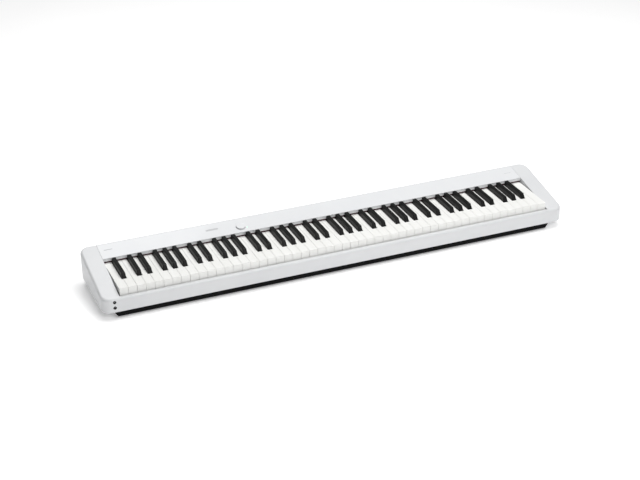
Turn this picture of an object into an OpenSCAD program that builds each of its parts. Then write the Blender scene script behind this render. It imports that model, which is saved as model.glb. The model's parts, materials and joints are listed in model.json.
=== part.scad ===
// Slim 88-key digital piano with a white case, a black base tray and a weighted hammer action.
// X runs from the bass end to the treble end, Y from the player to the back, Z up. The origin
// lies on the floor under the middle of the case. All sizes are in millimetres.

/* [Case] */
// Overall width, end to end
body_w = 1322; // [1320:1:1340]
// Overall depth, front to back
body_d = 232; // [232:1:236]
// Height that the sloping top reaches at the back edge, before it is rounded
back_h = 102.8; // [101:0.1:106]
// Height of the front rail
front_h = 56; // [55.5:0.5:57]
// Plan radius of the four corners
corner_r = 25; // [15:1:26]
// Rounding of the upper edges
edge_r = 7; // [4:1:8]
// Wall thickness of the case mouldings
wall = 3; // [2.5:0.5:3]
// Height of the joint between the white case and the black base
case_z = 17.3; // [16.8:0.1:17.6]
// Height of the rubber feet
foot_h = 5; // [4:0.5:5]

/* [Keyboard] */
// Pitch of the white keys
white_pitch = 23.5; // [23.4:0.05:23.5]
// Height of the white key tops
key_top = 76; // [75.5:0.1:76.2]
// Front face of the white keys
key_front = -102.3; // [-102.5:0.1:-101.5]
// Height of the black keys above the white ones
black_rise = 13; // [11:0.5:13]
// Width of a black key where it meets the white ones
black_w = 12.4; // [11.4:0.2:12.6]
// Width of a black key on top
black_top_w = 10.5; // [9:0.5:11]
// Clear gap between neighbouring keys
key_gap = 1; // [0.8:0.1:1.4]

/* [Panel] */
// Front edge of the control panel
panel_y = 49; // [49:0.5:51]
// Height of the lip that hangs from the panel's front edge
lip_h = 8.5; // [7:0.5:9]
// Radius of the volume knob
knob_r = 13; // [11:0.5:14]
// Height of the volume knob above the panel
knob_h = 4.5; // [4:0.5:6]

/* [Sockets and stand] */
// Bore radius of the 3.5 mm headphone sockets
phones_r = 1.8; // [1.75:0.05:1.9]
// Bore radius of the 6.3 mm line and pedal sockets
line_r = 3.2; // [3.15:0.05:3.3]
// Bore radius of the DC inlet
dc_r = 2.8; // [2.75:0.05:2.9]
// Spacing of the stand inserts along X
insert_dx = 1000; // [980:10:1010]
// Spacing of the stand inserts along Y
insert_dy = 120; // [110:5:124]
// Thread core radius of the stand inserts
insert_r = 2.5; // [2.4:0.1:2.6]

/* [Hidden] */
NOTES = ["c", "cs", "d", "ds", "e", "f", "fs", "g", "gs", "a", "as", "b"];
$fn = 32;

// Colours
WHITE = [0.93, 0.93, 0.93];
PANEL_WHITE = [0.95, 0.95, 0.96];
KEY_WHITE = [0.97, 0.97, 0.95];
KEY_BLACK = [0.07, 0.07, 0.07];
BASE_BLACK = [0.06, 0.06, 0.065];
FELT_RED = [0.45, 0.05, 0.08];
FELT_GREY = [0.35, 0.35, 0.37];
PCB_GREEN = [0.08, 0.32, 0.16];
STEEL = [0.68, 0.69, 0.71];
RESIN = [0.22, 0.22, 0.24];
BRASS = [0.78, 0.62, 0.30];

// Case frame
x_end = body_w / 2;
y_end = body_d / 2;
tuck = 2;
tuck_h = 3;
slope = (back_h - front_h) / body_d;
tilt = atan(slope);
back_in = y_end - wall;

// Keyboard frame
white_count = 52;
last_key = 87;
keys_w = white_count * white_pitch;
well_x = keys_w / 2 + 2.5;
rail_y = key_front - 1.2;
notch_y = -54.5;
black_front = -53;
black_slant = 7.5;
black_back = panel_y - 0.6;
key_foot = key_top - 16;
apron_z = key_top - 26;
skin = 2;
lid = 3;
neck_y = panel_y + 3;
neck_z = key_top - 14;
neck_w = 9;
key_tail = 84;

// Action: key pivot, hammer pivot and the rods in them
key_axis = [78, 65];
key_rod_r = 2.5;
hammer_axis = [-10, 40];
hammer_rod_r = 2;
rod_play = 0.06;
boss_y = key_axis[0] - 5.5;
boss_z = key_axis[1] - 5.5;
plunger_y = -38;
plunger_z = 50;
plunger_r = 3;
actuator_y = -50;
actuator_z = 55;
hammer_w = 8;

// Chassis
chassis_x = keys_w / 2 - 4;
chassis_z = 24;
plate_top = chassis_z + wall;
bracket_t = 2.4;
ledge_y = [-96.5, -86.5];
ledge_z = 47.3;
board_rail_y = [-57, -44];
board_z = 44;
stop_y = [59, 67];
stop_z = [58.5, 60.3];

// Black base
base_top_x = x_end - 38;
base_foot_x = base_top_x - 9;
base_shift = -8;
base_y = [1 - y_end, y_end - 4];
floor_z = foot_h + wall;
screw_x = [-590, -300, 0, 300, 590];
screw_front_y = -109.75;
screw_back_y = 106;
chassis_screw_x = [-540, -280, -40, 40, 280, 540];
chassis_screw_y = [-70, 79];
foot_x = [-575, -200, 200, 575];
foot_y = [-96, 92];

// Battery bay for six AA cells
bay_x = [252, 343];
bay_y = [-38, 18];
bay_top = 22.7;
bay_wall = 1.1;
rebate = 4;
rebate_h = 1.6;
cell_pitch = 14.6;

// Panel
panel_x = well_x - 0.5;
lip_z = front_h + (panel_y + y_end) * slope - lip_h;
flange_z = back_h - 14;
touch_x = [-335, 125];
touch_y = [56, 103];
touch_gap = 1.2;
touch_t = 1.6;
knob_at = [-224, 72];
lamp_at = [-208, 66];
button_at = [-302.5, 83];
button_w = 34;
button_d = 6;
button_window = [38, 10];
bush_r = 5;
spindle_r = 3;

// Sockets
phones_x = -629;
phones_z = [46.8, 31.2];
socket_z = 46;
line_x = [-80, -110, -150];
pedal_x = -187;
usb_x = -50;
dc_x = -222;
socket_plate_x = [-240, -34];
socket_plate_z = 60;
jack_board_y = 91;

// Speakers
speaker_x = 480;
speaker_z = 55;
grille_w = 156;
grille_z = [28, 82];

function top_z(y) = front_h + (y + y_end) * slope;

// Notes are counted from C. A black note's slot is the line between the white keys it sits on.
note_slot = [0, 1, 1, 2, 2, 3, 4, 4, 5, 5, 6, 6];
note_is_black = [false, true, false, true, false, false, true, false, true, false, true, false];
black_shift = [0, -2.3, 0, 2.3, 0, 0, -3.4, 0, 0, 0, 3.4, 0];

function octave_x(octave) = (7 * octave - 5) * white_pitch - keys_w / 2;
function key_number(octave, note) = 12 * octave + note - 9;
function exists(octave, note) = key_number(octave, note) >= 0 && key_number(octave, note) <= last_key;
function black_x(note) = note_slot[note] * white_pitch + black_shift[note];
function tail_lo(note, key) =
    key == 0 || !note_is_black[(note + 11) % 12]
        ? note_slot[note] * white_pitch + key_gap / 2
        : black_x(note - 1) + black_w / 2 + key_gap;
function tail_hi(note, key) =
    key == last_key || !note_is_black[(note + 1) % 12]
        ? (note_slot[note] + 1) * white_pitch - key_gap / 2
        : black_x(note + 1) - black_w / 2 - key_gap;
function centre_x(note, key) =
    note_is_black[note] ? black_x(note) : (tail_lo(note, key) + tail_hi(note, key)) / 2;

// Action brackets stand where two white keys meet with no black key between them
bracket_x = concat(
    [2 - keys_w / 2, keys_w / 2 - 2],
    [for (octave = [1:8]) octave_x(octave)],
    [for (octave = [1:7]) octave_x(octave) + 3 * white_pitch]
);

// Block between low and high limits on each axis
module block(x, y, z) {
    translate([x[0], y[0], z[0]])
        cube([x[1] - x[0], y[1] - y[0], z[1] - z[0]]);
}

// Y-Z outline pushed along X
module along_x(x) {
    translate([x[0], 0, 0])
        rotate([90, 0, 90])
            linear_extrude(x[1] - x[0])
                children();
}

// X-Z outline pushed along Y
module along_y(y) {
    translate([0, y[1], 0])
        rotate([90, 0, 0])
            linear_extrude(y[1] - y[0])
                children();
}

// Round rod along X through a point of the Y-Z plane
module rod_x(at, r, x) {
    translate([x[0], at[0], at[1]])
        rotate([0, 90, 0])
            cylinder(r = r, h = x[1] - x[0]);
}

// Round rod along Y through a point of the X-Z plane
module rod_y(at, r, y) {
    translate([at[0], y[1], at[1]])
        rotate([90, 0, 0])
            cylinder(r = r, h = y[1] - y[0]);
}

// Upright rod
module rod_z(at, r, z) {
    translate([at[0], at[1], z[0]])
        cylinder(r = r, h = z[1] - z[0]);
}

// Places children on the sloping panel, their Z square to it
module on_panel(at) {
    translate([at[0], at[1], top_z(at[1])])
        rotate([tilt, 0, 0])
            children();
}

// Flat bar with round ends along X
module pill(w, d, z) {
    for (side = [-1, 1])
        rod_z([side * (w - d) / 2, 0], d / 2, z);
    block([(d - w) / 2, (w - d) / 2], [-d / 2, d / 2], z);
}

// ---------------------------------------------------------------- case

// Wedge with round corners, soft upper edges and a bevelled lower edge
module case_outer() {
    hull()
        for (sx = [-1, 1], sy = [-1, 1]) {
            translate([sx * (x_end - corner_r), sy * (y_end - corner_r), case_z])
                cylinder(r1 = corner_r - tuck, r2 = corner_r, h = tuck_h);
            multmatrix([[1, 0, 0, 0], [0, 1, 0, 0], [0, slope, 1, slope * y_end], [0, 0, 0, 1]])
                translate([sx * (x_end - corner_r), sy * (y_end - corner_r), front_h - edge_r])
                    rotate_extrude()
                        polygon(concat(
                            [[0, 0]],
                            [for (a = [0:15:90]) [corner_r - edge_r + edge_r * cos(a), edge_r * sin(a)]]
                        ));
        }
}

// Hollow of one end block, with the case's own corner curves, open to the base out to floor_x
module end_hollow(floor_x) {
    r = corner_r - wall;
    outer_x = x_end - corner_r;
    corner_y = y_end - corner_r;
    intersection() {
        linear_extrude(2 * back_h)
            polygon(concat(
                [[well_x + wall, back_in], [well_x + wall, -back_in]],
                [for (a = [-90:15:0]) [outer_x + r * cos(a), r * sin(a) - corner_y]],
                [for (a = [0:15:90]) [outer_x + r * cos(a), r * sin(a) + corner_y]]
            ));
        along_x([well_x, x_end])
            polygon([
                [-y_end, case_z + wall], [y_end, case_z + wall],
                [y_end, back_h - wall - 1], [-y_end, front_h - wall - 1]
            ]);
    }
    if (floor_x > well_x + wall + 1)
        block([well_x + wall, floor_x], [-back_in, base_y[1] - wall], [0, case_z + wall + 1]);
}

// End block beyond the key well: -1 is the bass end, 1 the treble end
module end_block(side) {
    color(WHITE)
        difference() {
            intersection() {
                case_outer();
                translate([side * (well_x + x_end) / 2, 0, back_h])
                    cube([x_end - well_x, 2 * body_d, 2 * back_h], center = true);
            }
            mirror([side < 0 ? 1 : 0, 0, 0])
                end_hollow(base_top_x + side * base_shift - wall);
            if (side < 0)
                for (z = phones_z)
                    rod_y([phones_x, z], 4.45, [-y_end - 1, 1 - back_in]);
        }
}

// Point of the soft edge along the top of the front face, at an angle from that face
function front_edge(a) =
    let (inset = edge_r * (1 - cos(a)))
        [inset - y_end, front_h - edge_r * (1 - sin(a)) + slope * inset];

// Rail before the keys, hollow between its screw ribs
module front_rail() {
    rail_in = [wall - y_end, rail_y - wall];
    rib = 4.5;
    color(WHITE)
        difference() {
            along_x([-well_x, well_x])
                polygon(concat(
                    [[rail_y, case_z], [tuck - y_end, case_z]],
                    [[-y_end, case_z + tuck_h]],
                    [for (a = [0:15:75]) front_edge(a)],
                    [[rail_y, front_h + 1]]
                ));
            block([-x_end, x_end], [-y_end, 0], [front_h, back_h]);
            block([-well_x - 1, screw_x[0] - rib], rail_in, [0, front_h - wall]);
            for (i = [0:3])
                block([screw_x[i] + rib, screw_x[i + 1] - rib], rail_in, [0, front_h - wall]);
            block([screw_x[4] + rib, well_x + 1], rail_in, [0, front_h - wall]);
            for (x = screw_x)
                rod_z([x, screw_front_y], 1.52, [0, 36]);
        }
}

// Lower edge of the back wall's section, tucked in at the outside
function back_foot() = [[back_in, case_z], [y_end - tuck, case_z], [y_end, case_z + tuck_h]];

// Wall behind the keys, with its screw bosses
module back_wall() {
    color(WHITE) {
        difference() {
            along_x([-well_x, well_x])
                polygon(concat(back_foot(), [[y_end, flange_z], [back_in, flange_z]]));
            back_cutouts();
        }
        for (x = screw_x)
            difference() {
                block([x - 5, x + 5], [screw_back_y - 4, back_in], [case_z, 38]);
                rod_z([x, screw_back_y], 1.52, [0, 36]);
            }
    }
}

// Openings of the back wall
module back_cutouts() {
    through = [back_in - 1, y_end + 1];
    block(socket_plate_x, through, [0, socket_plate_z]);
    for (side = [-1, 1])
        block([side * speaker_x - grille_w / 2, side * speaker_x + grille_w / 2], through, grille_z);
}

// Plate around the rear sockets
module socket_plate() {
    through = [back_in - 1, y_end + 1];
    color(WHITE)
        difference() {
            along_x(socket_plate_x)
                polygon(concat(back_foot(), [[y_end, socket_plate_z], [back_in, socket_plate_z]]));
            for (x = line_x)
                rod_y([x, socket_z], 5.55, through);
            rod_y([dc_x, socket_z], 5.05, through);
            block([pedal_x - 11, pedal_x + 11], through, [socket_z - 6, socket_z + 6]);
            block([usb_x - 6.1, usb_x + 6.1], through, [socket_z - 5.6, socket_z + 5.6]);
        }
}

module lower_case() {
    bay_in = 0.1;
    lean = (base_top_x - base_foot_x) / (case_z - foot_h);
    skin_x = wall * sqrt(1 + lean * lean);
    outer_bay = [bay_x[0] - 2, bay_x[1] + 2];
    color(BASE_BLACK)
        difference() {
            union() {
                translate([base_shift, 0, 0])
                    difference() {
                        along_y(base_y)
                            polygon([
                                [-base_top_x, case_z], [-base_foot_x, foot_h],
                                [base_foot_x, foot_h], [base_top_x, case_z]
                            ]);
                        along_y([base_y[0] + wall, base_y[1] - wall])
                            polygon([
                                [-base_top_x + skin_x, case_z], [-base_top_x + skin_x, back_h],
                                [base_top_x - skin_x, back_h], [base_top_x - skin_x, case_z],
                                [base_foot_x + lean * wall - skin_x, floor_z],
                                [-base_foot_x - lean * wall + skin_x, floor_z]
                            ]);
                    }
                block(outer_bay, [bay_y[0] - 2, bay_y[1] + 2], [foot_h, bay_top + bay_wall]);
                block(
                    [bay_x[0] - rebate - 2, bay_x[1] + rebate + 2],
                    [bay_y[0] - rebate - 2, bay_y[1] + rebate + 2],
                    [foot_h, floor_z + bay_in]
                );
                for (x = chassis_screw_x, y = chassis_screw_y)
                    rod_z([x, y], 5, [foot_h + 1, chassis_z]);
                for (x = screw_x) {
                    rod_z([x, screw_front_y], 4.6, [foot_h, case_z]);
                    rod_z([x, screw_back_y - 0.5], 5.5, [foot_h, case_z]);
                }
                for (sx = [-1, 1], sy = [-1, 1])
                    rod_z([sx * insert_dx / 2, sy * insert_dy / 2], 7, [foot_h, 18]);
            }
            block(bay_x, bay_y, [0, bay_top]);
            block(
                [bay_x[0] - rebate, bay_x[1] + rebate],
                [bay_y[0] - rebate, bay_y[1] + rebate],
                [0, foot_h + rebate_h]
            );
            for (x = chassis_screw_x, y = chassis_screw_y)
                rod_z([x, y], 1.52, [floor_z + 2, chassis_z + 1]);
            for (x = screw_x, y = [screw_front_y, screw_back_y]) {
                rod_z([x, y], 1.7, [0, case_z + 1]);
                rod_z([x, y], 3.7, [0, foot_h + 2.6]);
            }
            for (sx = [-1, 1], sy = [-1, 1])
                rod_z([sx * insert_dx / 2, sy * insert_dy / 2], 4.5, [0, 17]);
        }
}

// Section of the panel: lip, sloping top, rounded back edge and back flange
module top_panel() {
    under = top_z(back_in) - edge_r;
    color(PANEL_WHITE)
        difference() {
            along_x([-panel_x, panel_x])
                polygon(concat(
                    [[panel_y, lip_z], [panel_y, top_z(panel_y)]],
                    [for (a = [0:15:90])
                        let (y = y_end - edge_r + edge_r * sin(a))
                            [y, top_z(y) - edge_r * (1 - cos(a))]],
                    [
                        [y_end, flange_z], [back_in, flange_z], [back_in, under],
                        [y_end - edge_r, top_z(y_end - edge_r) - wall],
                        [panel_y + wall, top_z(panel_y + wall) - wall], [panel_y + wall, lip_z]
                    ]
                ));
            on_panel(knob_at)
                rod_z([0, 0], bush_r + 0.3, [-10, 5]);
            on_panel(lamp_at)
                rod_z([0, 0], 1.2, [-10, 5]);
            on_panel(button_at)
                pill(button_w + 0.7, button_d + 0.7, [-10, 5]);
        }
}

module key_slip_felt() {
    color(FELT_RED)
        block([-keys_w / 2, keys_w / 2], [panel_y + 0.6, panel_y + 2.6], [key_top + 0.6, lip_z]);
}

// ---------------------------------------------------------------- controls

// Circuit board under the panel, parallel to it
module touch_board() {
    under = wall + touch_gap;
    color(PCB_GREEN)
        difference() {
            along_x(touch_x)
                polygon([
                    [touch_y[0], top_z(touch_y[0]) - under], [touch_y[1], top_z(touch_y[1]) - under],
                    [touch_y[1], top_z(touch_y[1]) - under - touch_t],
                    [touch_y[0], top_z(touch_y[0]) - under - touch_t]
                ]);
            on_panel(knob_at)
                rod_z([0, 0], bush_r + 0.3, [-10, 5]);
            on_panel(button_at)
                block(
                    [-button_window[0] / 2, button_window[0] / 2],
                    [-button_window[1] / 2, button_window[1] / 2],
                    [-10, 5]
                );
        }
}

// Cap with a soft top edge and finger flutes, on its own spindle
module volume_knob() {
    round_r = 1.5;
    flutes = 32;
    color(PANEL_WHITE)
        on_panel(knob_at)
            difference() {
                union() {
                    rotate_extrude($fn = 64)
                        polygon(concat(
                            [[0, 0.4], [knob_r, 0.4]],
                            [for (a = [0:15:90])
                                [knob_r - round_r + round_r * cos(a), knob_h - round_r + round_r * sin(a)]],
                            [[0, knob_h]]
                        ));
                    rod_z([0, 0], spindle_r, [-12, 1]);
                }
                for (i = [0:flutes - 1])
                    rotate([0, 0, i * 360 / flutes])
                        rod_z([knob_r + 0.35, 0], 0.7, [0, knob_h - round_r]);
                block([-0.4, 0.4], [knob_r - 5, knob_r - 1.6], [knob_h - 0.4, knob_h + 1]);
            }
}

module volume_pot() {
    board_under = -wall - touch_gap - touch_t;
    color(STEEL)
        on_panel(knob_at)
            difference() {
                union() {
                    block([-7, 7], [-7, 7], [-14, board_under - 0.1]);
                    rod_z([0, 0], bush_r, [board_under - 1, -0.6]);
                }
                rod_z([0, 0], spindle_r + rod_play, [-12.6, 0]);
            }
}

// Pill button with a hidden flange and a stem towards its switch
module power_button() {
    color([0.80, 0.80, 0.82])
        on_panel(button_at) {
            pill(button_w, button_d, [-3.6, -0.1]);
            pill(button_w + 3, button_d + 2.6, [-4.4, -3.4]);
            block([-2, 2], [-2, 2], [-6.3, -4]);
        }
}

module power_switch() {
    board_under = -wall - touch_gap - touch_t;
    color([0.15, 0.15, 0.17])
        on_panel(button_at) {
            block([-4, 4], [-4, 4], [-12, -7.7]);
            block([-20, 20], [-3, 3], [-13.2, -12]);
            for (side = [-1, 1])
                block([19 * side - 1, 19 * side + 1], [-7, 7], [-13.2, board_under - 0.1]);
        }
}

module status_lamp() {
    color([0.35, 0.85, 0.45])
        on_panel(lamp_at)
            rod_z([0, 0], 1.2, [-(wall + touch_gap) * cos(tilt), 0]);
}

// ---------------------------------------------------------------- sockets

module phones_jacks() {
    collar_r = 4.4;
    color([0.05, 0.05, 0.05])
        for (z = phones_z)
            difference() {
                union() {
                    rod_y([phones_x, z], collar_r, [-y_end + 0.1, 1 - back_in]);
                    block([phones_x - 6, phones_x + 6], [-back_in, -98.5], [z - 5.7, z + 5.7]);
                }
                rod_y([phones_x, z], phones_r, [-y_end - 1, -99.5]);
            }
}

// Boards that carry the front and the rear sockets
module socket_boards() {
    color(PCB_GREEN) {
        block([phones_x - 9, phones_x + 8], [-98.5, -96.9], [22, 54]);
        block([dc_x - 12, usb_x + 12], [jack_board_y, jack_board_y + touch_t], [30, 62]);
    }
}

module line_jacks() {
    collar_r = 5.5;
    color([0.08, 0.08, 0.08])
        for (x = line_x)
            difference() {
                union() {
                    rod_y([x, socket_z], collar_r, [back_in - 1, y_end - 0.1]);
                    block([x - 7.5, x + 7.5], [jack_board_y + touch_t, back_in],
                        [socket_z - 7.5, socket_z + 7.5]);
                }
                rod_y([x, socket_z], line_r, [jack_board_y + touch_t + 1.4, y_end + 1]);
            }
}

// Shrouded connector with two rows of pins
module pedal_unit_socket() {
    y = [jack_board_y + touch_t, y_end - 0.3];
    color([0.12, 0.12, 0.13]) {
        difference() {
            block([pedal_x - 10.8, pedal_x + 10.8], y, [socket_z - 5.8, socket_z + 5.8]);
            block([pedal_x - 9, pedal_x + 9], [y[1] - 14, y_end], [socket_z - 4, socket_z + 4]);
        }
        for (i = [-2:2], side = [-1, 1])
            block(
                [pedal_x + 3 * i - 0.4, pedal_x + 3 * i + 0.4],
                [y[1] - 14, y[1] - 9],
                [socket_z + 2 * side - 0.4, socket_z + 2 * side + 0.4]
            );
    }
}

module usb_socket() {
    y = [jack_board_y + touch_t, y_end - 0.3];
    color(STEEL) {
        difference() {
            block([usb_x - 6, usb_x + 6], y, [socket_z - 5.5, socket_z + 5.5]);
            block([usb_x - 4.3, usb_x + 4.3], [y[1] - 10, y_end], [socket_z - 4, socket_z + 4]);
        }
        block([usb_x - 2.8, usb_x + 2.8], [y[1] - 10, y[1] - 1.5], [socket_z - 1.6, socket_z + 1.6]);
    }
}

// Barrel inlet: a clear mouth, then a narrower well around a short centre pin
module dc_inlet() {
    mouth = 9.5;
    face = y_end - 0.1;
    color([0.06, 0.06, 0.06]) {
        difference() {
            union() {
                rod_y([dc_x, socket_z], 5, [back_in - 1, face]);
                block([dc_x - 5, dc_x + 5], [jack_board_y + touch_t, back_in],
                    [socket_z - 5.5, socket_z + 5.5]);
            }
            rod_y([dc_x, socket_z], dc_r, [face - mouth, y_end + 1]);
            rod_y([dc_x, socket_z], 2.1, [face - mouth - 4, face]);
        }
        rod_y([dc_x, socket_z], 1, [face - mouth - 4.5, face - mouth - 0.5]);
    }
}

// Board with its processor, memory, amplifier and heat sink
module main_board() {
    y = 88;
    face = y + touch_t;
    chips = [[70, 52, 24, 3], [110, 60, 14, 2.5], [110, 42, 14, 2.5], [150, 50, 18, 3]];
    color(PCB_GREEN)
        block([30, 250], [y, face], [30, 80]);
    color([0.1, 0.1, 0.1])
        for (chip = chips)
            block(
                [chip[0] - chip[2] / 2, chip[0] + chip[2] / 2],
                [face, face + chip[3]],
                [chip[1] - chip[2] / 2, chip[1] + chip[2] / 2]
            );
    color(STEEL) {
        block([185, 235], [face, face + 3], [38, 72]);
        for (i = [0:5])
            block([187 + 9 * i, 189 + 9 * i], [face + 3, face + 14], [38, 72]);
    }
}

// ---------------------------------------------------------------- speakers

// Slab with half-round ends, lying in the X-Z plane at a depth y
module oval(w, h, y) {
    for (side = [-1, 1])
        rod_y([side * (w - h) / 2, 0], h / 2, [y - 0.01, y]);
}

// Oval dish from a wide front to a narrow back
module dish(front, back, y) {
    hull() {
        oval(front[0], front[1], y[1]);
        oval(back[0], back[1], y[0]);
    }
}

module speaker_baskets() {
    color(RESIN)
        for (side = [-1, 1])
            translate([side * speaker_x, 0, speaker_z])
                difference() {
                    union() {
                        block([-80, 80], [110, 112.5], [-29, 29]);
                        dish([146, 56], [70, 44], [97, 110]);
                    }
                    dish([142, 52], [66, 40], [99, 112.6]);
                    rod_y([0, 0], 14, [95, 100]);
                }
}

module speaker_cones() {
    color([0.1, 0.1, 0.1])
        for (side = [-1, 1])
            translate([side * speaker_x, 0, speaker_z]) {
                difference() {
                    dish([130, 44], [58, 32], [101, 111.5]);
                    dish([128, 42], [56, 30], [102, 111.6]);
                }
                rod_y([0, 0], 12, [99.5, 103]);
            }
}

module speaker_magnets() {
    color(STEEL)
        for (side = [-1, 1])
            rod_y([side * speaker_x, speaker_z], 21, [87, 96.9]);
}

module speaker_grilles() {
    bars = 22;
    step = (grille_w - 8) / bars;
    play = 0.2;
    color(BASE_BLACK)
        for (side = [-1, 1])
            translate([side * speaker_x, 0, 0])
                difference() {
                    block(
                        [play - grille_w / 2, grille_w / 2 - play],
                        [y_end - 2.4, y_end - 0.4],
                        [grille_z[0] + play, grille_z[1] - play]
                    );
                    for (i = [0:bars - 1], row = [0:1])
                        block(
                            [4 - grille_w / 2 + step * i + 1.2, 4 - grille_w / 2 + step * (i + 1) - 1.2],
                            [y_end - 3, y_end],
                            [grille_z[0] + 4 + 24 * row, grille_z[0] + 26 + 24 * row]
                        );
                }
}

// ---------------------------------------------------------------- action frame

// Bracket that carries both rods and the upper stop rail
module action_bracket(x) {
    along_x([x - bracket_t / 2, x + bracket_t / 2]) {
        polygon([
            [stop_y[0], plate_top - 1], [key_tail + 1, plate_top - 1], [key_tail + 1, key_axis[1] + 5],
            [boss_y - 1, key_axis[1] + 5], [boss_y - 1, stop_z[1]], [stop_y[0], stop_z[1]]
        ]);
        polygon([
            [hammer_axis[0] - 9, plate_top - 1], [hammer_axis[0] + 9, plate_top - 1],
            [hammer_axis[0] + 5, hammer_axis[1] + 5], [hammer_axis[0] - 5, hammer_axis[1] + 5]
        ]);
    }
}

module key_chassis() {
    span = [-chassis_x - 3, chassis_x + 3];
    inner = [-chassis_x + 3, chassis_x - 3];
    color(RESIN)
        difference() {
            union() {
                block(span, [-97, key_tail], [chassis_z, plate_top]);
                block(span, ledge_y, [chassis_z, ledge_z]);
                block(span, board_rail_y, [chassis_z, board_z]);
                block(span, stop_y, stop_z);
                for (x = bracket_x)
                    action_bracket(x);
            }
            block(inner, [ledge_y[0] + 2, ledge_y[1] - 2], [0, ledge_z - 2]);
            block(inner, [board_rail_y[0] + 2, board_rail_y[1] - 2], [0, board_z - 2]);
            rod_x(key_axis, key_rod_r + 0.02, [-x_end, x_end]);
            rod_x(hammer_axis, hammer_rod_r + 0.02, [-x_end, x_end]);
            for (x = chassis_screw_x, y = chassis_screw_y)
                rod_z([x, y], 1.8, [0, plate_top + 1]);
        }
}

// Key rod and hammer rod
module action_rods() {
    x = [1 - keys_w / 2, keys_w / 2 - 1];
    color(STEEL) {
        rod_x(key_axis, key_rod_r, x);
        rod_x(hammer_axis, hammer_rod_r, x);
    }
}

// Key stop on the ledge; hammer rest on the plate and hammer stop, both between the brackets
module action_felts() {
    posts = [for (octave = [0:7]) octave_x(octave + 1)];
    color(FELT_GREY) {
        block([-chassis_x, chassis_x], [ledge_y[0] + 0.5, ledge_y[1] - 0.5], [ledge_z, ledge_z + 2.4]);
        for (i = [0:6], half = [0, 1]) {
            x = [
                posts[i] + half * 3 * white_pitch + 2,
                posts[i] + (half == 0 ? 3 : 7) * white_pitch - 2
            ];
            block(x, [60, 68], [plate_top, plate_top + 1.6]);
            block(x, [stop_y[0] + 0.5, stop_y[1] - 0.5], [stop_z[0] - 1.4, stop_z[0]]);
        }
    }
}

module contact_boards() {
    third = 2 * chassis_x / 3;
    color(PCB_GREEN)
        for (i = [0:2])
            block(
                [third * i - chassis_x + 0.5, third * (i + 1) - chassis_x - 0.5],
                board_rail_y,
                [board_z, board_z + touch_t]
            );
}

module contact_domes() {
    color([0.4, 0.4, 0.42])
        for (octave = [0:8], note = [0:11])
            if (exists(octave, note))
                translate([octave_x(octave) + centre_x(note, key_number(octave, note)),
                    actuator_y, board_z + touch_t])
                    cylinder(r1 = 3.8, r2 = 2.6, h = 1.4);
}

// ---------------------------------------------------------------- keys

// Round tip that pushes the hammer, and the rib that presses the contact dome
module key_feet(c) {
    block([c - 3, c + 3], [plunger_y - plunger_r, plunger_y + plunger_r], [plunger_z, key_top - lid + 0.5]);
    rod_x([plunger_y, plunger_z], plunger_r, [c - 3, c + 3]);
    block([c - 2, c + 2], [actuator_y - 2.5, actuator_y + 2.5], [actuator_z, key_top - lid + 0.5]);
}

// Narrow rear arm with the pivot boss
module key_neck(c, y0, top) {
    x = [c - neck_w / 2, c + neck_w / 2];
    block(x, [y0, key_tail], [neck_z, top]);
    block(x, [boss_y, key_tail], [boss_z, top]);
}

module white_key(note, key) {
    x0 = note_slot[note] * white_pitch + key_gap / 2;
    x1 = x0 + white_pitch - key_gap;
    t0 = tail_lo(note, key);
    t1 = tail_hi(note, key);
    c = centre_x(note, key);
    difference() {
        union() {
            difference() {
                union() {
                    block([x0, x1], [key_front, notch_y], [key_foot, key_top]);
                    block([x0, x1], [key_front, key_front + lid], [apron_z, key_top]);
                    block([t0, t1], [notch_y, neck_y], [key_foot, key_top]);
                }
                block([x0 + skin, x1 - skin], [key_front + lid, notch_y - skin], [0, key_top - lid]);
                block([t0 + skin, t1 - skin], [notch_y, neck_y - skin], [0, key_top - lid]);
            }
            key_neck(c, neck_y - skin, key_top);
            key_feet(c);
        }
        rod_x(key_axis, key_rod_r + rod_play, [c - neck_w, c + neck_w]);
    }
}

module black_key(note) {
    c = black_x(note);
    half = black_w / 2;
    top = key_top + black_rise;
    difference() {
        union() {
            difference() {
                intersection() {
                    along_x([c - half, c + half])
                        polygon([
                            [black_front, key_foot], [black_front, key_top + 1],
                            [black_front + black_slant, top], [black_back, top], [black_back, key_foot]
                        ]);
                    along_y([black_front - 1, black_back + 1])
                        polygon([
                            [c - half, key_foot - 1], [c - half, key_top], [c - black_top_w / 2, top],
                            [c + black_top_w / 2, top], [c + half, key_top], [c + half, key_foot - 1]
                        ]);
                }
                block([c - half + skin, c + half - skin], [black_front + skin, black_back - skin],
                    [0, key_top - lid]);
            }
            key_neck(c, black_back - skin, key_top - 0.5);
            key_feet(c);
        }
        rod_x(key_axis, key_rod_r + rod_play, [c - neck_w, c + neck_w]);
    }
}

// Every key of one note name
module keys(note) {
    color(note_is_black[note] ? KEY_BLACK : KEY_WHITE)
        for (octave = [0:8])
            if (exists(octave, note))
                translate([octave_x(octave), 0, 0])
                    if (note_is_black[note])
                        black_key(note);
                    else
                        white_key(note, key_number(octave, note));
}

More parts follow.
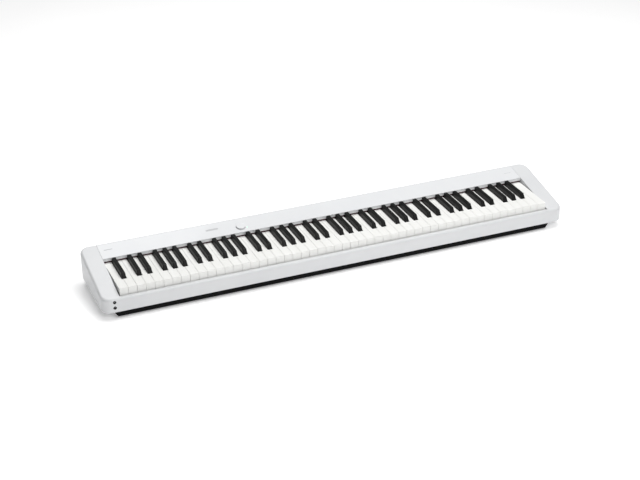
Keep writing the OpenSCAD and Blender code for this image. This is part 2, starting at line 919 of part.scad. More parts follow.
// Every hammer of one note name: front pad under the key, hub on the rod, heavy rear arm
module hammers(note) {
    hub_r = 5.5;
    pad_z = plunger_z - plunger_r - 0.5;
    color(STEEL)
        for (octave = [0:8])
            if (exists(octave, note)) {
                c = octave_x(octave) + centre_x(note, key_number(octave, note));
                x = [c - hammer_w / 2, c + hammer_w / 2];
                difference() {
                    union() {
                        along_x(x)
                            polygon([
                                [plunger_y - 4, pad_z - 5], [plunger_y - 4, pad_z], [plunger_y + 4, pad_z],
                                [hammer_axis[0] - 2, hammer_axis[1] + 5], [hammer_axis[0] + 14, 38],
                                [70, 38], [70, 29], [hammer_axis[0] + 10, 29],
                                [hammer_axis[0] - 2, hammer_axis[1] - 5]
                            ]);
                        rod_x(hammer_axis, hub_r, x);
                    }
                    rod_x(hammer_axis, hammer_rod_r + rod_play, [x[0] - 1, x[1] + 1]);
                }
            }
}

// ---------------------------------------------------------------- battery bay, feet, fasteners

module battery_cover() {
    play = 0.35;
    plate_x = [bay_x[0] - rebate + play, bay_x[1] + rebate - play];
    plate_y = [bay_y[0] - rebate + play, bay_y[1] + rebate - play];
    color(BASE_BLACK) {
        difference() {
            block(plate_x, plate_y, [foot_h, foot_h + 1.3]);
            for (i = [0:4])
                block([bay_x[0] + 30 + 7 * i, bay_x[0] + 33 + 7 * i], [bay_y[0], bay_y[0] + 14],
                    [foot_h - 1, foot_h + 0.5]);
        }
        difference() {
            block(
                [bay_x[0] + play, bay_x[1] - play],
                [bay_y[0] + play, bay_y[1] - play],
                [foot_h + 1.3, foot_h + 3.2]
            );
            block(
                [bay_x[0] + 2, bay_x[1] - 2],
                [bay_y[0] + 2, bay_y[1] - 2],
                [foot_h, foot_h + 4]
            );
        }
    }
}

// End plates of the bay, with a coil at the minus end of each cell and a stud at the plus end
module battery_contacts() {
    z = (foot_h + 3.4 + bay_top) / 2;
    color(STEEL)
        for (i = [0:5]) {
            x = (bay_x[0] + bay_x[1]) / 2 + (i - 2.5) * cell_pitch;
            flip = i % 2;
            block([x - 5.5, x + 5.5], [bay_y[0], bay_y[0] + 0.5], [z - 5.5, z + 5.5]);
            block([x - 5.5, x + 5.5], [bay_y[1] - 0.5, bay_y[1]], [z - 5.5, z + 5.5]);
            rod_y([x, z], flip == 0 ? 4 : 2.5, [bay_y[0] + 0.5, bay_y[0] + (flip == 0 ? 3.5 : 1.2)]);
            rod_y([x, z], flip == 1 ? 4 : 2.5, [bay_y[1] - (flip == 1 ? 3.5 : 1.2), bay_y[1] - 0.5]);
        }
}

module rubber_feet() {
    color([0.12, 0.12, 0.12])
        for (x = foot_x, y = foot_y)
            translate([x, y, 0])
                cylinder(r1 = 9, r2 = 10, h = foot_h);
}

// Pan head screw with a cross recess, head down or up
module screw(at, head_z, tip_z) {
    down = tip_z > head_z ? 1 : -1;
    translate([at[0], at[1], head_z])
        mirror([0, 0, down == 1 ? 0 : 1])
            difference() {
                union() {
                    cylinder(r = 3.4, h = 2);
                    cylinder(r = 1.5, h = abs(tip_z - head_z));
                }
                block([-1.8, 1.8], [-0.35, 0.35], [-1, 1]);
                block([-0.35, 0.35], [-1.8, 1.8], [-1, 1]);
            }
}

module case_screws() {
    color(STEEL)
        for (x = screw_x, y = [screw_front_y, screw_back_y])
            screw([x, y], foot_h + 0.5, 34);
}

module chassis_screws() {
    color(STEEL)
        for (x = chassis_screw_x, y = chassis_screw_y)
            screw([x, y], plate_top + 2, floor_z + 4);
}

module stand_inserts() {
    color(BRASS)
        for (sx = [-1, 1], sy = [-1, 1])
            difference() {
                rod_z([sx * insert_dx / 2, sy * insert_dy / 2], 4.48, [foot_h, 16.8]);
                rod_z([sx * insert_dx / 2, sy * insert_dy / 2], insert_r, [0, 20]);
            }
}

end_block(-1);  // bass_end_block
end_block(1);  // treble_end_block
front_rail();
back_wall();
socket_plate();
lower_case();
top_panel();
key_slip_felt();
touch_board();
volume_knob();
volume_pot();
power_button();
power_switch();
status_lamp();
phones_jacks();
socket_boards();
line_jacks();
pedal_unit_socket();
usb_socket();
dc_inlet();
main_board();
speaker_baskets();
speaker_cones();
speaker_magnets();
speaker_grilles();
key_chassis();
action_rods();
action_felts();
contact_boards();
contact_domes();
battery_cover();
battery_contacts();
rubber_feet();
case_screws();
chassis_screws();
stand_inserts();
for (i = [0:11]) {
    keys(i);
    hammers(i);
}
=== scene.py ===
"""Looks of a slim white digital piano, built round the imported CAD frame. Lengths are in metres."""

import json
import math
import random

import bmesh
import bpy
from mathutils import Matrix, Vector


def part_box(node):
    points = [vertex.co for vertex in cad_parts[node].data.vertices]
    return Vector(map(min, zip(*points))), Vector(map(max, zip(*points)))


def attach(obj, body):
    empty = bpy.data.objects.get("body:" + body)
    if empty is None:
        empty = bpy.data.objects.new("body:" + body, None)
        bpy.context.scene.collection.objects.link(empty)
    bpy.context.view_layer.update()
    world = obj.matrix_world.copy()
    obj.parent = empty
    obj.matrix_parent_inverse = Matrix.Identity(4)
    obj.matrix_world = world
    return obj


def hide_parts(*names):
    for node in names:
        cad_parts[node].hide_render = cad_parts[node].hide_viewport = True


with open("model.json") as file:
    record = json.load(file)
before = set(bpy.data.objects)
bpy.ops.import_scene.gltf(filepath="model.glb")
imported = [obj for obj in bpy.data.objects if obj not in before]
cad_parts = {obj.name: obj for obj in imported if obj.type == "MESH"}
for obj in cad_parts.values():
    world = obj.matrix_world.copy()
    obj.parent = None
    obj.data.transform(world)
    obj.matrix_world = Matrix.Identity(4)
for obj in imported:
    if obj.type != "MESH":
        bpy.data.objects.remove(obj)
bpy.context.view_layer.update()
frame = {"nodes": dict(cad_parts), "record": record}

MM = 0.001
NODES = frame["nodes"]
SLOT_OF = {part["node"]: part["material_slot"] for part in frame["record"]["subparts"]}
BODY_OF = {
    node: body for body, nodes in frame["record"]["behaviour"]["bodies"].items() for node in nodes
}

# Case, read off the CAD
END_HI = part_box("treble_end_block")[1]
RAIL_LO, RAIL_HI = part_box("front_rail")
X_END, Y_END = END_HI.x, END_HI.y
WELL_X = RAIL_HI.x
CASE_Z = RAIL_LO.z
FRONT_H = RAIL_HI.z
RAIL_BACK = RAIL_HI.y
CORNER_R = 25 * MM
EDGE_R = 7 * MM
SLOPE = 46.8 / 232  # rise over depth of the case's top
TILT = math.atan(SLOPE)

# Headphone sockets in the bass end block
SOCKET_HEIGHTS = (31.2 * MM, 46.8 * MM)
SOCKET_R = 4.45 * MM
SOCKET_DEPTH = 3.2 * MM

# Keys
KEY_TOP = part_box("keys_c")[1].z
KEY_FACE_Y = -102.2 * MM  # just behind the white keys' front faces
KEY_GROWTH = 0.2 * MM  # each side of a white key, which makes the gaps' lines fainter
KEY_EDGE = 0.4 * MM
CAP_HALF = 6.2 * MM
CAP_HALF_TOP = 5.25 * MM
CAP_SLANT = 7.5 * MM
CAP_BACK_Y = 48.4 * MM
CAP_EDGE = 1.5 * MM
KEY_SPLIT = 14 * MM  # front corners further apart than this belong to two black keys


# ------------------------------------------------------------------ materials


def noise_layer(tree, coords, scale, detail, stretch, distortion=0.0):
    """Value of a noise texture over the piece's own coordinates, stretched along its axes."""
    mapping = tree.nodes.new("ShaderNodeMapping")
    mapping.inputs["Scale"].default_value = stretch
    tree.links.new(coords, mapping.inputs["Vector"])
    layer = tree.nodes.new("ShaderNodeTexNoise")
    layer.inputs["Scale"].default_value = scale
    layer.inputs["Detail"].default_value = detail
    layer.inputs["Distortion"].default_value = distortion
    tree.links.new(mapping.outputs["Vector"], layer.inputs["Vector"])
    return layer.outputs["Fac"]


def remap(tree, value, low, high):
    """Spreads a noise value's middle range over low to high."""
    ranged = tree.nodes.new("ShaderNodeMapRange")
    ranged.inputs["From Min"].default_value = 0.3
    ranged.inputs["From Max"].default_value = 0.7
    ranged.inputs["To Min"].default_value = low
    ranged.inputs["To Max"].default_value = high
    tree.links.new(value, ranged.inputs["Value"])
    return ranged.outputs["Result"]


def surface(
    name, dark, light, rough, colour_scale=12, grain=(900, 0.05, 0.02), stretch=(1, 1, 1),
    metallic=0.0, specular=0.5, coat=0.0, sheen=0.0, emission=0.0, distortion=0.0,
):
    """Procedural finish: mottled colour, uneven roughness and a fine surface grain.

    grain is (scale per metre, bump strength, depth in millimetres)."""
    material = bpy.data.materials.new(name)
    material.use_nodes = True
    tree = material.node_tree
    shader = tree.nodes["Principled BSDF"]
    coords = tree.nodes.new("ShaderNodeTexCoord").outputs["Object"]

    tint = tree.nodes.new("ShaderNodeMix")
    tint.data_type = "RGBA"
    tint.inputs["A"].default_value = (*dark, 1)
    tint.inputs["B"].default_value = (*light, 1)
    mottle = remap(tree, noise_layer(tree, coords, colour_scale, 4, stretch, distortion), 0, 1)
    tree.links.new(mottle, tint.inputs["Factor"])
    tree.links.new(tint.outputs["Result"], shader.inputs["Base Color"])

    uneven = noise_layer(tree, coords, 60, 3, stretch)
    tree.links.new(remap(tree, uneven, *rough), shader.inputs["Roughness"])

    bump = tree.nodes.new("ShaderNodeBump")
    bump.inputs["Strength"].default_value = grain[1]
    bump.inputs["Distance"].default_value = grain[2] * MM
    tree.links.new(noise_layer(tree, coords, grain[0], 2, stretch), bump.inputs["Height"])
    tree.links.new(bump.outputs["Normal"], shader.inputs["Normal"])

    shader.inputs["Metallic"].default_value = metallic
    shader.inputs["Specular IOR Level"].default_value = specular
    shader.inputs["Coat Weight"].default_value = coat
    shader.inputs["Coat Roughness"].default_value = 0.06
    shader.inputs["Sheen Weight"].default_value = sheen
    shader.inputs["Sheen Roughness"].default_value = 0.5
    if emission:
        shader.inputs["Emission Color"].default_value = (*light, 1)
        shader.inputs["Emission Strength"].default_value = emission
    return material


def circuit_surface(name):
    """Green solder resist crossed by fine copper tracks."""
    material = surface(
        name, (0.012, 0.085, 0.035), (0.02, 0.13, 0.05), (0.3, 0.45), grain=(1500, 0.2, 0.02)
    )
    tree = material.node_tree
    shader = tree.nodes["Principled BSDF"]
    tint = next(n for n in tree.nodes if n.bl_idname == "ShaderNodeMix")
    coords = next(n for n in tree.nodes if n.bl_idname == "ShaderNodeTexCoord").outputs["Object"]
    mapping = tree.nodes.new("ShaderNodeMapping")
    mapping.inputs["Rotation"].default_value = (math.pi / 4, 0, 0)
    tree.links.new(coords, mapping.inputs["Vector"])
    tracks = tree.nodes.new("ShaderNodeTexBrick")
    tracks.inputs["Scale"].default_value = 60
    tracks.inputs["Mortar Size"].default_value = 0.02
    tracks.inputs["Color1"].default_value = (0, 0, 0, 1)
    tracks.inputs["Color2"].default_value = (0, 0, 0, 1)
    tracks.inputs["Mortar"].default_value = (1, 1, 1, 1)
    tree.links.new(mapping.outputs["Vector"], tracks.inputs["Vector"])
    copper = tree.nodes.new("ShaderNodeMix")
    copper.data_type = "RGBA"
    copper.inputs["B"].default_value = (0.05, 0.22, 0.08, 1)
    tree.links.new(tracks.outputs["Color"], copper.inputs["Factor"])
    tree.links.new(tint.outputs["Result"], copper.inputs["A"])
    tree.links.new(copper.outputs["Result"], shader.inputs["Base Color"])
    return material


BRUSHED = (0.04, 1, 1)
FINISH = {
    "case_white": surface(
        "satin_white", (0.665, 0.673, 0.685), (0.69, 0.698, 0.706), (0.28, 0.38),
        grain=(1400, 0.2, 0.015), specular=0.5,
    ),
    "base_black": surface(
        "textured_black", (0.003, 0.003, 0.0033), (0.005, 0.005, 0.0054), (0.5, 0.65),
        grain=(1600, 0.6, 0.04), specular=0.07,
    ),
    "panel_white": surface(
        "gloss_white", (0.755, 0.765, 0.78), (0.775, 0.785, 0.795), (0.16, 0.24),
        grain=(60, 0.04, 0.01), specular=0.4, coat=0.8,
    ),
    "felt_red": surface(
        "red_felt", (0.030, 0.006, 0.010), (0.075, 0.014, 0.022), (0.85, 0.98), colour_scale=900,
        grain=(2600, 0.9, 0.25), specular=0.1, sheen=0.15, distortion=1.5,
    ),
    "felt_grey": surface(
        "grey_felt", (0.10, 0.10, 0.105), (0.20, 0.20, 0.21), (0.85, 0.98), colour_scale=900,
        grain=(2600, 0.9, 0.25), specular=0.1, sheen=0.5, distortion=1.5,
    ),
    "circuit_board": circuit_surface("solder_resist"),
    "knob_white": surface(
        "knob_satin", (0.70, 0.71, 0.72), (0.74, 0.75, 0.76), (0.25, 0.38),
        grain=(2000, 0.15, 0.01), specular=0.4,
    ),
    "button_grey": surface(
        "button_grey", (0.50, 0.505, 0.515), (0.55, 0.555, 0.565), (0.35, 0.5),
        grain=(1800, 0.2, 0.01), specular=0.3,
    ),
    "lamp_green": surface(
        "lamp_green", (0.10, 0.55, 0.28), (0.20, 0.85, 0.45), (0.1, 0.2), colour_scale=400,
        grain=(900, 0.1, 0.01), emission=1.2,
    ),
    "connector_black": surface(
        "moulded_black", (0.006, 0.006, 0.006), (0.012, 0.012, 0.012), (0.5, 0.65),
        grain=(1500, 0.3, 0.02), specular=0.12,
    ),
    "connector_steel": surface(
        "plated_steel", (0.50, 0.51, 0.53), (0.62, 0.63, 0.64), (0.22, 0.38), stretch=BRUSHED,
        colour_scale=500, grain=(1500, 0.2, 0.01), metallic=1.0,
    ),
    "resin_grey": surface(
        "filled_resin", (0.035, 0.035, 0.04), (0.06, 0.06, 0.065), (0.45, 0.65),
        colour_scale=300, grain=(1200, 0.5, 0.03), specular=0.3,
    ),
    "cone_black": surface(
        "pressed_pulp", (0.008, 0.008, 0.008), (0.022, 0.021, 0.02), (0.75, 0.92),
        colour_scale=700, grain=(1400, 0.9, 0.12), specular=0.2, distortion=1.0,
    ),
    "rod_steel": surface(
        "ground_steel", (0.52, 0.53, 0.55), (0.66, 0.67, 0.68), (0.16, 0.3), stretch=BRUSHED,
        colour_scale=700, grain=(2200, 0.2, 0.01), metallic=1.0,
    ),
    "hammer_steel": surface(
        "hammer_plate", (0.36, 0.36, 0.37), (0.48, 0.48, 0.49), (0.32, 0.5),
        colour_scale=250, grain=(900, 0.3, 0.02), metallic=1.0,
    ),
    "screw_steel": surface(
        "zinc_plate", (0.45, 0.46, 0.48), (0.58, 0.59, 0.61), (0.25, 0.42),
        colour_scale=600, grain=(1800, 0.25, 0.01), metallic=1.0,
    ),
    "contact_nickel": surface(
        "bright_nickel", (0.62, 0.61, 0.58), (0.74, 0.73, 0.70), (0.12, 0.26), stretch=BRUSHED,
        colour_scale=400, grain=(1600, 0.15, 0.01), metallic=1.0,
    ),
    "insert_brass": surface(
        "turned_brass", (0.55, 0.36, 0.12), (0.72, 0.50, 0.20), (0.22, 0.38), stretch=(1, 1, 0.05),
        colour_scale=900, grain=(2400, 0.4, 0.02), metallic=1.0,
    ),
    "foot_rubber": surface(
        "foot_rubber", (0.010, 0.010, 0.010), (0.020, 0.020, 0.020), (0.7, 0.88),
        grain=(1300, 0.7, 0.05), specular=0.2,
    ),
    "dome_rubber": surface(
        "dome_silicone", (0.16, 0.16, 0.17), (0.22, 0.22, 0.23), (0.5, 0.68),
        grain=(1300, 0.3, 0.02), specular=0.3,
    ),
    "key_white": surface(
        "key_white", (0.835, 0.835, 0.81), (0.865, 0.865, 0.845), (0.30, 0.42),
        stretch=(1, 0.15, 1), colour_scale=70, grain=(2400, 0.35, 0.015), specular=0.35,
    ),
    "key_black": surface(
        "key_black", (0.003, 0.003, 0.003), (0.006, 0.006, 0.0058), (0.36, 0.5),
        stretch=(1, 0.08, 1), colour_scale=120, grain=(1800, 0.5, 0.025), specular=0.2,
    ),
}
PRINT_GREY = surface(
    "print_grey", (0.33, 0.34, 0.36), (0.40, 0.41, 0.43), (0.4, 0.5), grain=(1500, 0.2, 0.005)
)
PRINT_FAINT = surface(
    "print_faint", (0.62, 0.64, 0.67), (0.66, 0.68, 0.71), (0.3, 0.4), grain=(1500, 0.2, 0.005)
)


# -------------------------------------------------------------------- helpers

FLAT = math.radians(0.6)  # faces that meet at less are one flat face


def finish_mesh(bm, name, body, slot, material=None, replaces=(), smooth_angle=35.0):
    """Turns a bmesh into a piece with soft shading that rides on its body."""
    bmesh.ops.recalc_face_normals(bm, faces=bm.faces)
    mesh = bpy.data.meshes.new(name)
    bm.to_mesh(mesh)
    bm.free()
    mesh.polygons.foreach_set("use_smooth", [True] * len(mesh.polygons))
    mesh.set_sharp_from_angle(angle=math.radians(smooth_angle))
    mesh.materials.append(material or FINISH[slot])
    piece = bpy.data.objects.new(name, mesh)
    bpy.context.scene.collection.objects.link(piece)
    weighted = piece.modifiers.new("even_shading", "WEIGHTED_NORMAL")
    weighted.keep_sharp = True
    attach(piece, body)
    if replaces:
        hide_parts(*replaces)
    return piece


def bevel_edges(bm, test, width, segments):
    """Rounds the edges that pass the test."""
    edges = [e for e in bm.edges if len(e.link_faces) == 2 and test(e)]
    bmesh.ops.bevel(
        bm, geom=edges, offset=width, offset_type="OFFSET", segments=segments, profile=0.5,
        affect="EDGES", clamp_overlap=True,
    )


def turn(edge):
    """Angle between an edge's two faces, in degrees."""
    return math.degrees(edge.calc_face_angle(0.0))


def cad_copy(node):
    """bmesh of a CAD node with its seams welded and its flat faces merged."""
    bm = bmesh.new()
    bm.from_mesh(NODES[node].data)
    bmesh.ops.remove_doubles(bm, verts=bm.verts, dist=1e-6)
    bmesh.ops.dissolve_limit(
        bm, angle_limit=FLAT, verts=bm.verts, edges=bm.edges, use_dissolve_boundaries=False
    )
    return bm


def loft(bm, rings, closed=True):
    """Skins equal rings of points, and returns the rings of vertices."""
    made = [[bm.verts.new(p) for p in ring] for ring in rings]
    count = len(rings[0])
    for low, high in zip(made, made[1:]):
        for i in range(count if closed else count - 1):
            j = (i + 1) % count
            bm.faces.new((low[i], low[j], high[j], high[i]))
    return made


def prism(bm, outline, low, high, place):
    """Closed plate: a flat outline pushed from one height to another, then placed."""
    rings = loft(bm, [[place @ Vector((x, y, z)) for x, y in outline] for z in (low, high)])
    bm.faces.new(rings[0])
    bm.faces.new(rings[1])
    return rings


def bar_outline(width, depth, steps=8):
    """Round-ended bar lying along X."""
    r = depth / 2
    points = []
    for side in (1, -1):
        for i in range(steps + 1):
            a = math.pi * (i / steps - 0.5) if side > 0 else math.pi * (i / steps + 0.5)
            points.append((side * (width / 2 - r) + r * math.cos(a), r * math.sin(a)))
    return points


def top_z(y):
    """Height of the case's sloping top."""
    return FRONT_H + SLOPE * (y + Y_END)


def on_panel(x, y):
    """Frame on the sloping panel, its Z square to it."""
    return Matrix.Translation((x, y, top_z(y))) @ Matrix.Rotation(TILT, 4, "X")


def soften(node, width, segments=2, limit=40.0):
    """Rounds a carried-over CAD node's edges with modifiers; its own mesh stays as it is."""
    piece = NODES[node]
    weld = piece.modifiers.new("weld", "WELD")
    weld.merge_threshold = 1e-6
    merge = piece.modifiers.new("merge_flats", "DECIMATE")
    merge.decimate_type = "DISSOLVE"
    merge.angle_limit = FLAT
    bevel = piece.modifiers.new("round_edges", "BEVEL")
    bevel.width = width
    bevel.segments = segments
    bevel.limit_method = "ANGLE"
    bevel.angle_limit = math.radians(limit)
    weighted = piece.modifiers.new("even_shading", "WEIGHTED_NORMAL")
    weighted.keep_sharp = True


# ----------------------------------------------------------------------- case


def tuck(nx, phase):
    """Inset and height of the rounded lower edge; it is fuller on the ends than on the faces."""
    depth = (2.0 + 2.5 * nx * nx) * MM
    rise = (3.0 + 3.0 * nx * nx) * MM
    return depth * (1 - math.sin(phase)), rise * (1 - math.cos(phase))


def end_ring(inset, height, phase=math.pi / 2, steps=14):
    """One level of the end block's outline, from the front of its cheek round to the back."""
    plan = [(WELL_X, -1, 0.0, -1.0)]
    for quarter, centre_y in ((-90, CORNER_R - Y_END), (0, Y_END - CORNER_R)):
        for i in range(steps + 1):
            a = math.radians(quarter + 90 * i / steps)
            plan.append((X_END - CORNER_R, centre_y, math.cos(a), math.sin(a)))
    plan.append((WELL_X, 1, 0.0, 1.0))
    ring = []
    for x, y, nx, ny in plan:
        step_in, rise = tuck(nx, phase)
        if abs(y) == 1:
            point = (x, y * (Y_END - inset - step_in))
        else:
            r = CORNER_R - inset - step_in
            point = (x + r * nx, y + r * ny)
        ring.append(Vector((*point, height(point[1]) if phase >= math.pi / 2 else CASE_Z + rise)))
    return ring


def end_block(side, name, node, holes=()):
    """Rounded end of the case: a closed skin over the CAD's hollow block, with bores in front."""
    rings = [end_ring(0, None, math.pi / 2 * i / 6) for i in range(6)]
    rings.append(end_ring(0, lambda y: CASE_Z + 6 * MM))
    for i in range(11):
        a = math.pi / 2 * i / 10
        inset = EDGE_R * (1 - math.cos(a))
        drop = EDGE_R * (1 - math.sin(a))
        rings.append(end_ring(inset, lambda y, d=drop: top_z(y) - d))
    bm = bmesh.new()
    made = loft(bm, rings, closed=False)
    bm.faces.new(made[0])
    bm.faces.new(made[-1])
    bm.faces.new([ring[0] for ring in made] + [ring[-1] for ring in reversed(made)])
    bmesh.ops.scale(bm, vec=(side, 1, 1), verts=bm.verts)
    bmesh.ops.recalc_face_normals(bm, faces=bm.faces)

    def cheek_top(e):
        return all(abs(abs(v.co.x) - WELL_X) < 1e-6 and v.co.z > FRONT_H + 1e-3 for v in e.verts)

    bevel_edges(bm, lambda e: cheek_top(e) and turn(e) > 40, 0.7 * MM, 3)
    piece = finish_mesh(bm, name, "case", "case_white", replaces=[node])
    for x, z in holes:
        cut_bore(piece, (x, -Y_END, z), SOCKET_R, SOCKET_DEPTH)


def cut_bore(piece, at, radius, depth):
    """Cuts a round hole along Y and keeps the result as the piece's own mesh."""
    bm = bmesh.new()
    angles = [math.tau * i / 48 for i in range(48)]
    ring = [(radius * math.cos(a), radius * math.sin(a)) for a in angles]
    place = Matrix.Translation(at) @ Matrix.Rotation(math.pi / 2, 4, "X")
    prism(bm, ring, -depth, depth, place)
    bmesh.ops.recalc_face_normals(bm, faces=bm.faces)
    mesh = bpy.data.meshes.new("cutter")
    bm.to_mesh(mesh)
    bm.free()
    cutter = bpy.data.objects.new("cutter", mesh)
    bpy.context.scene.collection.objects.link(cutter)
    cut = piece.modifiers.new("bore", "BOOLEAN")
    cut.object = cutter
    cut.operation = "DIFFERENCE"
    cut.solver = "EXACT"
    shading = piece.modifiers["even_shading"]
    shading.show_viewport = False
    bpy.context.view_layer.update()
    cut_mesh = bpy.data.meshes.new_from_object(
        piece.evaluated_get(bpy.context.evaluated_depsgraph_get())
    )
    piece.modifiers.remove(cut)
    shading.show_viewport = True
    piece.data = cut_mesh
    piece.data.polygons.foreach_set("use_smooth", [True] * len(piece.data.polygons))
    piece.data.set_sharp_from_angle(angle=math.radians(35))
    bpy.data.objects.remove(cutter)


def front_rail():
    """Rail before the keys: rounded lower edge, soft front edge, flat ledge."""
    section = []
    for i in range(7):
        step_in, rise = tuck(0.0, math.pi / 2 * i / 6)
        section.append((step_in - Y_END, CASE_Z + rise))
    last = None
    for i in range(11):
        a = math.pi / 2 * i / 10
        y = EDGE_R * (1 - math.cos(a)) - Y_END
        z = top_z(y) - EDGE_R * (1 - math.sin(a))
        if z > FRONT_H:
            share = (FRONT_H - last[1]) / (z - last[1])
            section.append((last[0] + share * (y - last[0]), FRONT_H))
            break
        last = (y, z)
        section.append(last)
    lip = 0.8 * MM
    for i in range(5):
        a = math.pi / 2 * i / 4
        section.append((RAIL_BACK - lip + lip * math.sin(a), FRONT_H - lip + lip * math.cos(a)))
    section.append((RAIL_BACK, CASE_Z))
    bm = bmesh.new()
    made = loft(bm, [[(x, y, z) for y, z in section] for x in (-WELL_X, WELL_X)])
    bm.faces.new(made[0])
    bm.faces.new(made[1])
    finish_mesh(bm, "front_rail_skin", "case", "case_white", replaces=["front_rail"])


# ---------------------------------------------------------------------- panel


def panel_marks():
    """Plain printed marks: a bar at each end, and faint dots and dashes over the touch keys."""
    dark, faint = bmesh.new(), bmesh.new()
    lift = 0.02 * MM
    height = 0.05 * MM

    def bar(bm, x, y, width, depth):
        place = on_panel(x * MM, y * MM)
        prism(bm, bar_outline(width * MM, depth * MM), lift, lift + height, place)

    bar(dark, -589, 84, 23, 2.2)
    bar(dark, 588, 81, 20, 1.0)
    bar(faint, 1, 85, 18, 1.4)
    for column in range(5):
        for row in range(3):
            width, depth = (5.2, 1.1) if row else (2.2, 2.2)
            bar(faint, -114 + 14 * column, 62 + 14.5 * row, width, depth)
    for i in range(6):
        bar(faint, -186 + 9 * i, 71, 1.4, 1.4)
    finish_mesh(dark, "panel_print", "case", "panel_white", PRINT_GREY)
    finish_mesh(faint, "panel_touch_marks", "case", "panel_white", PRINT_FAINT)


def felt_strip():
    """Felt along the panel's lip, its faces a little uneven."""
    lo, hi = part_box("key_slip_felt")
    bm = bmesh.new()
    seed = random.Random(7)
    stations = 420
    fuzz = 0.15 * MM
    r = 0.5 * MM
    rings = []
    for i in range(stations + 1):
        x = lo.x + (hi.x - lo.x) * i / stations
        # The fourth draw is spare: it keeps the sequence of the others
        front, under, belly, _ = [seed.uniform(-0.12, 0.12) * MM for _ in range(4)]
        y0, y1 = lo.y + fuzz + front, hi.y
        z0, z1 = lo.z + fuzz + under, hi.z
        rings.append(
            [
                (x, y0 + r, z0), (x, y0 + fuzz, z0 + fuzz), (x, y0, z0 + r),
                (x, y0 + belly / 3, (z0 + z1) / 2), (x, y0, z1), (x, y1, z1), (x, y1, z0),
            ]
        )
    made = loft(bm, rings)
    bm.faces.new(made[0])
    bm.faces.new(made[-1])
    finish_mesh(
        bm, "key_slip_felt_strip", "case", "felt_red", replaces=["key_slip_felt"], smooth_angle=60
    )


# ----------------------------------------------------------------------- keys


def black_keys(node):
    """Black keys with drafted, rounded caps over the CAD's own lower bodies."""
    bm = cad_copy(node)
    lo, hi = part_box(node)
    front = lo.y
    cut = KEY_TOP - 1.0 * MM
    bmesh.ops.bisect_plane(
        bm, geom=bm.verts[:] + bm.edges[:] + bm.faces[:], dist=1e-7,
        plane_co=(0, 0, cut), plane_no=(0, 0, 1), clear_outer=True,
    )
    bmesh.ops.holes_fill(bm, edges=[e for e in bm.edges if e.is_boundary], sides=0)
    fronts = sorted({round(v.co.x, 6) for v in bm.verts if abs(v.co.y - front) < 1e-6})
    keys = []
    for x in fronts:
        if not keys or x - keys[-1][-1] > KEY_SPLIT:
            keys.append([x])
        else:
            keys[-1].append(x)
    for key in keys:
        centre = (key[0] + key[-1]) / 2
        cap = bmesh.new()
        levels = []
        for half, y, z in ((CAP_HALF, front, cut), (CAP_HALF_TOP, front + CAP_SLANT, hi.z)):
            corners = [(-half, y), (half, y), (half, CAP_BACK_Y), (-half, CAP_BACK_Y)]
            levels.append([(centre + dx, dy, z) for dx, dy in corners])
        rings = loft(cap, levels)
        cap.faces.new(rings[0])
        cap.faces.new(rings[1])
        bmesh.ops.recalc_face_normals(cap, faces=cap.faces)
        bevel_edges(cap, lambda e: max(v.co.z for v in e.verts) > hi.z - 1e-6, CAP_EDGE, 4)
        mesh = bpy.data.meshes.new("cap")
        cap.to_mesh(mesh)
        cap.free()
        bm.from_mesh(mesh)
        bpy.data.meshes.remove(mesh)
    finish_mesh(bm, node + "_shaped", BODY_OF[node], "key_black", replaces=[node])


def islands(bm):
    """The separate solids of a mesh, as lists of their vertices."""
    left = set(bm.verts)
    for start in bm.verts:
        if start not in left:
            continue
        left.remove(start)
        found = [start]
        for v in found:
            for e in v.link_edges:
                other = e.other_vert(v)
                if other in left:
                    left.remove(other)
                    found.append(other)
        yield found


def white_keys(node):
    """White keys with their top edges and front corners rounded, and their gaps a little closed."""
    bm = cad_copy(node)
    for key in islands(bm):
        left, right = min(v.co.x for v in key), max(v.co.x for v in key)
        for v in key:
            if v.co.x < left + 0.01 * MM:
                v.co.x -= KEY_GROWTH
            elif v.co.x > right - 0.01 * MM:
                v.co.x += KEY_GROWTH
    bevel_edges(
        bm,
        lambda e: turn(e) > 60
        and (
            all(v.co.z > KEY_TOP - 1e-6 for v in e.verts)
            or (
                all(v.co.y < KEY_FACE_Y for v in e.verts)
                and abs(e.verts[0].co.z - e.verts[1].co.z) > 5 * MM
            )
        ),
        KEY_EDGE,
        3,
    )
    finish_mesh(bm, node + "_shaped", BODY_OF[node], "key_white", replaces=[node])


# ---------------------------------------------------------------------- stage


def floor():
    """Plain pale ground that glows a little, so that shadows stay faint."""
    bm = bmesh.new()
    bmesh.ops.create_grid(bm, x_segments=24, y_segments=24, size=9)
    mesh = bpy.data.meshes.new("floor")
    bm.to_mesh(mesh)
    bm.free()
    mesh.materials.append(
        surface(
            "pale_floor", (0.93, 0.93, 0.93), (0.95, 0.95, 0.95), (0.8, 0.95), colour_scale=3,
            grain=(300, 0.1, 0.05), specular=0.1, emission=0.27,
        )
    )
    ground = bpy.data.objects.new("floor", mesh)
    bpy.context.scene.collection.objects.link(ground)


def light(name, at, towards, size, energy):
    """Rectangular area light aimed at a point."""
    data = bpy.data.lights.new(name, "AREA")
    data.shape = "RECTANGLE"
    data.size, data.size_y = size
    data.energy = energy
    lamp = bpy.data.objects.new(name, data)
    lamp.location = at
    lamp.rotation_euler = (Vector(towards) - Vector(at)).to_track_quat("-Z", "Y").to_euler()
    bpy.context.scene.collection.objects.link(lamp)
    return lamp


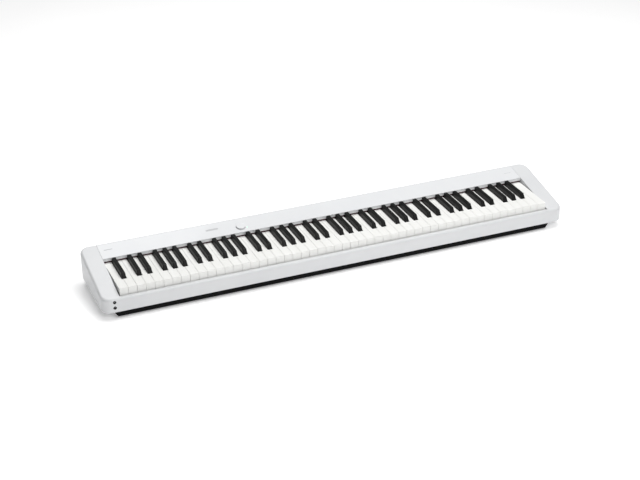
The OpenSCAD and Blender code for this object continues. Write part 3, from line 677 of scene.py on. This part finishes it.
def studio():
    """Dim white surroundings and three soft lights."""
    scene = bpy.context.scene
    world = bpy.data.worlds.new("studio")
    scene.world = world
    world.use_nodes = True
    backdrop = world.node_tree.nodes["Background"]
    backdrop.inputs["Color"].default_value = (1.0, 1.0, 1.0, 1)
    backdrop.inputs["Strength"].default_value = 0.13
    light("overhead", (0.4, 0.5, 3.2), (0, 0, 0), (3.2, 1.9), 97)
    light("front_fill", (0.5, -2.7, 2.5), (0.0, 0, 0.05), (2.6, 1.8), 56)
    # Faces straight down behind the piano, where the glossy panel mirrors it
    softbox = light("panel_softbox", (-0.02, 3.36, 3.2), (-0.02, 3.36, 0), (2.0, 2.4), 15)
    softbox.rotation_euler = (0, 0, -math.radians(41))
    scene.view_settings.view_transform = "Standard"


def camera():
    """The viewpoint of the photograph, from a fit to the case and the keys."""
    place = (-1.3887, -3.5499, 1.9437)
    yaw, pitch, roll = -0.367, -0.463, -0.028
    ahead = Vector(
        (math.sin(-yaw) * math.cos(pitch), math.cos(-yaw) * math.cos(pitch), math.sin(pitch))
    )
    right = ahead.cross(Vector((0, 0, 1))).normalized()
    up = right.cross(ahead)
    c, s = math.cos(roll), math.sin(roll)
    right, up = c * right + s * up, c * up - s * right
    data = bpy.data.cameras.new("camera")
    data.sensor_width = 36
    data.lens = 88.13
    data.clip_start, data.clip_end = 0.05, 60
    eye = bpy.data.objects.new("camera", data)
    basis = Matrix((right, up, -ahead)).transposed().to_4x4()
    eye.matrix_world = Matrix.Translation(place) @ basis
    bpy.context.scene.collection.objects.link(eye)
    bpy.context.scene.camera = eye


# ------------------------------------------------------------------- assembly

for node, piece in NODES.items():
    finish = FINISH[SLOT_OF[node]]
    if not piece.material_slots:
        piece.data.materials.append(finish)
    for held in piece.material_slots:
        held.link = "OBJECT"
        held.material = finish

jacks_lo, jacks_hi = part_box("phones_jacks")
sockets = [((jacks_lo.x + jacks_hi.x) / 2, z) for z in SOCKET_HEIGHTS]
end_block(1, "treble_end", "treble_end_block")
end_block(-1, "bass_end", "bass_end_block", sockets)
front_rail()
panel_marks()
felt_strip()
for name in NODES:
    if name.startswith("keys_"):
        if name.endswith("s"):
            black_keys(name)
        else:
            white_keys(name)
for name, width in {
    "top_panel": 0.5, "lower_case": 0.7, "battery_cover": 0.4, "rubber_feet": 0.9,
    "power_button": 0.35, "phones_jacks": 0.25, "line_jacks": 0.3, "dc_inlet": 0.3,
    "usb_socket": 0.15, "pedal_unit_socket": 0.25, "speaker_grilles": 0.25, "key_chassis": 0.4,
}.items():
    soften(name, width * MM)
floor()
studio()
camera()
